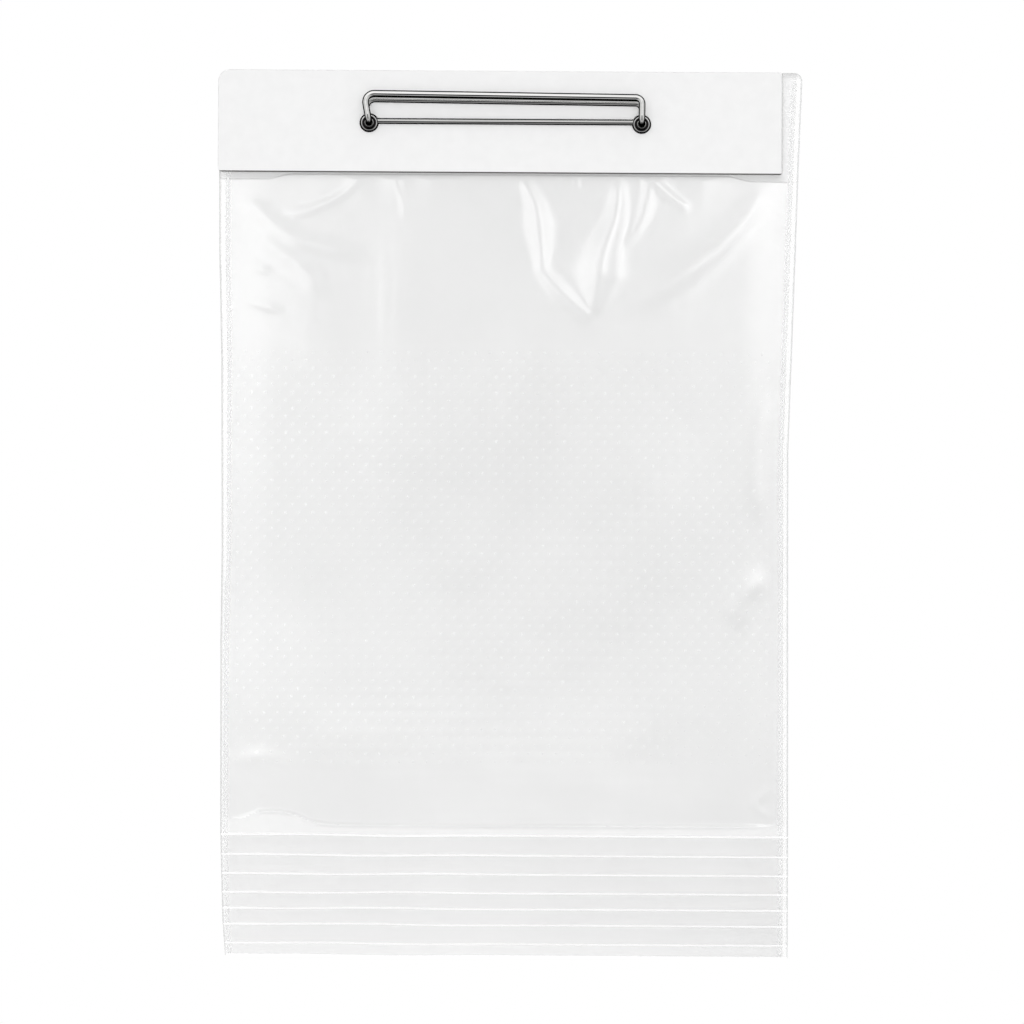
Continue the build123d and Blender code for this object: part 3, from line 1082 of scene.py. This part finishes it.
def make_world():
    """White to the camera. Reflections see a room, and everything else gets even light, a little
    stronger from above."""
    world = bpy.data.worlds.new("studio")
    bpy.context.scene.world = world
    world.use_nodes = True
    tree = world.node_tree
    tree.nodes.clear()
    direction = add_split(tree, tree.nodes.new("ShaderNodeTexCoord").outputs["Generated"])
    upward = add_range(tree, direction["Z"], -1.0, 1.0)
    even = add_ramp(tree, upward, [(0.0, 0.42), (0.45, 0.42), (0.7, 0.48), (1.0, 0.5)])
    rays = tree.nodes.new("ShaderNodeLightPath").outputs
    light = add_mix(tree, rays["Is Glossy Ray"], even, reflected_room(tree, upward, direction))
    background = tree.nodes.new("ShaderNodeBackground")
    tree.links.new(add_mix(tree, rays["Is Camera Ray"], light, WHITE), background.inputs["Color"])
    output = tree.nodes.new("ShaderNodeOutputWorld")
    tree.links.new(background.outputs[0], output.inputs["Surface"])


def softbox(name, azimuth, elevation, width, height, radiance, distance=1.7, fill=False, lights=None,
            blocks=None):
    """A soft light aimed at the pack. Azimuth 0 is in front of it and 90 to its right. A fill light
    doesn't show in reflections. It may light only some pieces, and be blocked by only some."""
    target = Vector((0, cad_low.y, (cad_low.z + cad_high.z) / 2))
    a, e = math.radians(azimuth), math.radians(elevation)
    away = Vector((math.sin(a) * math.cos(e), -math.cos(a) * math.cos(e), math.sin(e)))
    data = bpy.data.lights.new(name, "AREA")
    data.shape = "RECTANGLE"
    data.size, data.size_y = width, height
    data.energy = radiance * math.pi * width * height
    lamp = bpy.data.objects.new(name, data)
    lamp.location = target + away * distance
    lamp.rotation_euler = (-away).to_track_quat("-Z", "Y").to_euler()
    lamp.visible_camera = False
    lamp.visible_glossy = not fill
    if lights is not None:
        lamp.light_linking.receiver_collection = lights
    if blocks is not None:
        lamp.light_linking.blocker_collection = blocks
    bpy.context.scene.collection.objects.link(lamp)


def piece_group(name, chosen):
    """A collection of the pieces whose material slot chosen picks, for lights that single them out."""
    group = bpy.data.collections.new(name)
    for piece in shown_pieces():
        if chosen(piece.get("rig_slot")):
            group.objects.link(piece)
    return group


def make_lights():
    """Keys that shine in the folds, soft light on the film, and a fill for all other pieces."""
    films = piece_group("film_pieces", lambda slot: slot == "clear_film")
    cards = piece_group("card_pieces", lambda slot: slot == "white_card")
    dull = piece_group("dull_pieces", lambda slot: slot != "bright_wire")
    others = piece_group("other_pieces", lambda slot: slot != "clear_film")
    softbox("key_left", -15, 6, 0.50, 0.60, 2.4, lights=dull, blocks=cards)
    softbox("key_right", 15, 8, 0.42, 0.55, 3.0, lights=dull, blocks=cards)
    softbox("front_fill", 0, 5, 1.6, 1.6, 1.74, fill=True, lights=others, blocks=cards)
    softbox("key_low", -5, -16, 0.60, 0.30, 1.8, lights=films)
    softbox("film_front", 0, -14, 2.4, 1.0, 0.58, lights=films, blocks=cards)
    softbox("film_top", 0, 58, 2.8, 1.2, 3.1, distance=3.4, fill=True, lights=films, blocks=cards)
    softbox("film_low", 0, -45, 2.8, 1.2, 0.5, distance=3.4, fill=True, lights=films, blocks=cards)
    softbox("back_fill", 180, 20, 1.6, 1.6, 1.4, fill=True)


def make_camera():
    """Straight on from the front, a little below the middle, turned by a third of a degree."""
    data = bpy.data.cameras.new("camera")
    data.sensor_width, data.lens = SENSOR, LENS
    data.clip_end = 50
    camera = bpy.data.objects.new("camera", data)
    camera.location = (VIEW_X, lip_low.y - VIEW_WIDTH * LENS / SENSOR, VIEW_Z)
    camera.rotation_euler = (math.radians(90), math.radians(ROLL), 0)
    bpy.context.scene.collection.objects.link(camera)
    bpy.context.scene.camera = camera


def set_light_paths():
    """Plain colours, and enough see-through steps for all layers of film, one behind another."""
    scene = bpy.context.scene
    scene.view_settings.view_transform = "Standard"
    scene.cycles.transparent_max_bounces = 48
    scene.cycles.max_bounces = 6
    scene.cycles.diffuse_bounces = 2
    scene.cycles.glossy_bounces = 3


# ---- Build --------------------------------------------------------------------------------

for bag_number in range(1, bag_count + 1):
    build_bag(bag_number)
cloth_relief = simulate_film(right_low - film_left, mouth_z - first_bottom)
build_front_layer(cloth_relief)
build_dots(cloth_relief)
build_washer("front_washer_left")
build_washer("front_washer_right")
make_floor()
make_world()
make_lights()
make_camera()
set_light_paths()
